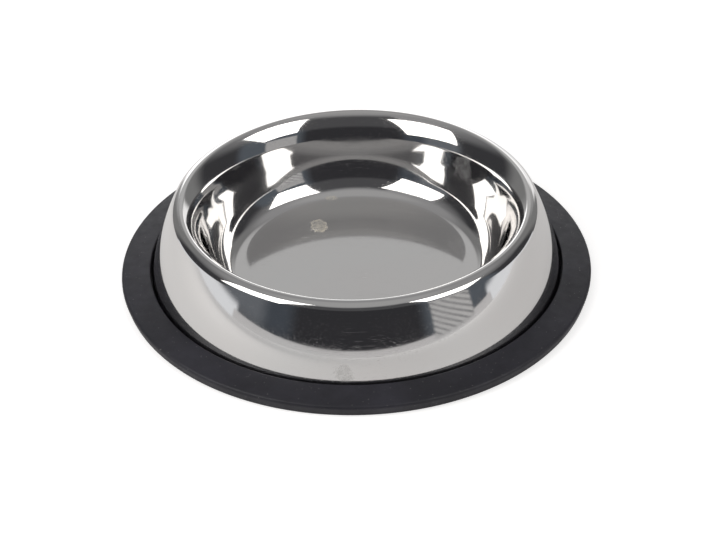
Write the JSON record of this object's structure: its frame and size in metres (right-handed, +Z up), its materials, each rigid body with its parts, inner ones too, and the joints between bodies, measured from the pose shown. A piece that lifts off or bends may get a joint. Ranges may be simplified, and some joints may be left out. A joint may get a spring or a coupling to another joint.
{
  "type": "non-tip pet bowl",
  "caption": "Low round polished steel feeding bowl with a flared hollow skirt whose hem stands in a wide flat rubber base ring.",
  "frame": {"origin": "on the bowl's axis, in the plane that the rubber ring stands on", "axes": "+Z up along the bowl's axis, out of its mouth; +X and +Y are any two directions across it, because it is a body of revolution"},
  "size_m": [0.1876, 0.1876, 0.0335],
  "materials": {
    "polished_steel": "polished",
    "black_rubber": "satin"
  },
  "bodies": {
    "ring": {"rubber_ring": "black_rubber"},
    "bowl": {"steel_bowl": "polished_steel"}
  },
  "joints": [
    {"name": "bowl_lift", "type": "slide", "parent": "ring", "child": "bowl", "axis": [0, 0, 1], "range_m": [0, 0.04]}
  ]
}
